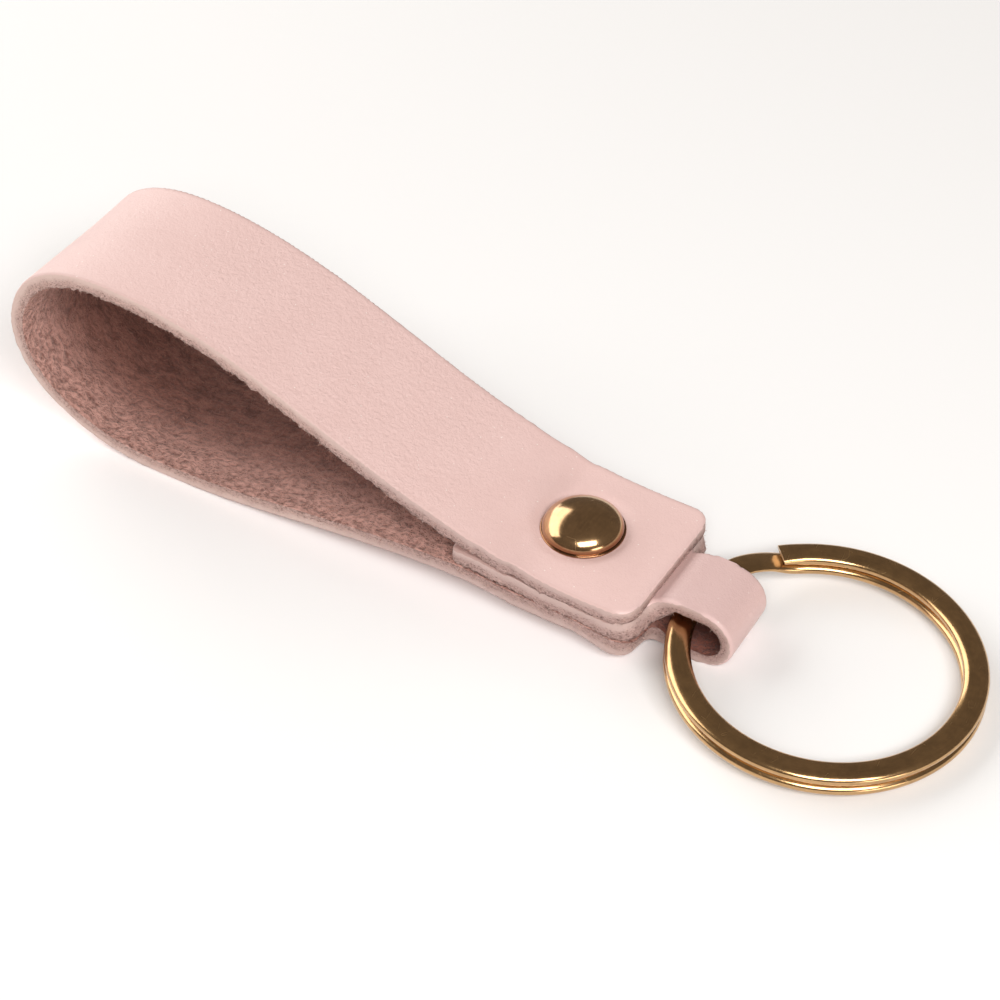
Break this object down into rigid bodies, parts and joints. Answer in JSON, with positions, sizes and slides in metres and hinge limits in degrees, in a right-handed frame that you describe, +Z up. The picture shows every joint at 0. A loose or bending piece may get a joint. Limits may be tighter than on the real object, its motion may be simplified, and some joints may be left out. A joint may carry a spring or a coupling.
{
  "type": "leather keychain",
  "caption": "Leather finger loop folded from a single strip and clamped by a rivet, with a flat-wire split ring hinged in its narrow neck to carry keys.",
  "frame": {"origin": "bottom centre of the object's box as it lies on a table: under the middle of its length and width, on the table's surface", "axes": "+X along the strap from the finger loop to the ring, +Y across the strap, +Z up, with the riveted top layer uppermost"},
  "size_m": [0.1036, 0.03, 0.0223],
  "materials": {
    "pink_leather": "fine pebbled grain outside, suede flesh side inside",
    "gilt_rivet": "polished, dark gold",
    "gilt_wire": "polished, dark gold"
  },
  "bodies": {
    "strap": {"leather_strap": "pink_leather", "rivet_cap": "gilt_rivet", "rivet_socket": "gilt_rivet", "rivet_post": "gilt_rivet", "rivet_base_cap": "gilt_rivet"},
    "ring": {"split_ring": "gilt_wire"}
  },
  "joints": [
    {"name": "ring_swing", "type": "hinge", "parent": "strap", "child": "ring", "pos_m": [0.02334, 0, 0.00326], "axis": [0, -1, 0], "range_deg": [-120, 144]}
  ]
}
